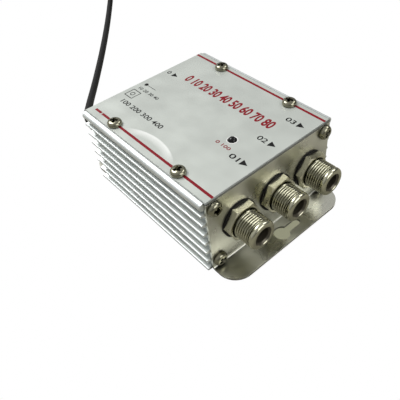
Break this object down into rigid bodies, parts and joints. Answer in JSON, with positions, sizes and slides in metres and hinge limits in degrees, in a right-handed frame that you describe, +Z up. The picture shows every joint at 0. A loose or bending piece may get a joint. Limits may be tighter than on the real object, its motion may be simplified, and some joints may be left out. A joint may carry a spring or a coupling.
{
  "type": "tv signal amplifier",
  "caption": "Small ribbed metal box with a printed lid, bent end plates with keyhole feet, threaded coaxial ports front and rear, a lamp and a thin black mains lead.",
  "frame": {"origin": "middle of the case in plan, on the surface that it stands on", "axes": "+X along the front plate to the right seen from the front, +Y from the output ports to the input port, +Z up out of the lid"},
  "size_m": [0.1599, 0.2336, 0.0302],
  "materials": {
    "channel": "satin",
    "lid": "satin",
    "film": "satin",
    "plate": "polished nickel",
    "screw": "polished nickel",
    "port": "nickel plated",
    "nut": "nickel plated",
    "washer": "matte",
    "insulator": "matte",
    "contact": "polished",
    "board": "solder mask",
    "tinplate": "bright",
    "ferrite": "matte",
    "enamelled_wire": "gloss",
    "chip": "matte",
    "can": "sleeved",
    "ceramic": "satin",
    "lamp": "gloss",
    "cord_plastic": "matte",
    "wire_jacket": "matte",
    "tie": "matte",
    "plug_metal": "nickel plated"
  },
  "bodies": {
    "root": {"case_extrusion": "channel", "top_lid": "lid", "lid_overlay": "film", "front_plate": "plate", "rear_plate": "plate", "lid_screws": "screw", "front_plate_screws": "screw", "rear_plate_screws": "screw", "out_port_1": "port", "out_port_2": "port", "out_port_3": "port", "in_port": "port", "port_nuts": "nut", "port_washers": "washer", "port_insulators": "insulator", "port_contacts": "contact", "circuit_board": "board", "shield_partition": "tinplate", "splitter_cores": "ferrite", "core_windings": "enamelled_wire", "rf_transistors": "chip", "rf_chokes": "ferrite", "filter_capacitors": "can", "rectifier_diodes": "chip", "voltage_regulator": "chip", "ceramic_capacitors": "ceramic", "resistors": "chip", "status_lamp": "lamp", "lamp_leads": "tinplate", "cord_bushing": "cord_plastic", "power_wires": "wire_jacket", "power_cord": "cord_plastic", "power_cord_coil": "cord_plastic", "power_cord_end": "cord_plastic", "cord_tie": "tie", "plug_body": "cord_plastic", "plug_pins": "plug_metal", "transformer_core": "tinplate", "transformer_winding": "enamelled_wire"}
  },
  "joints": []
}
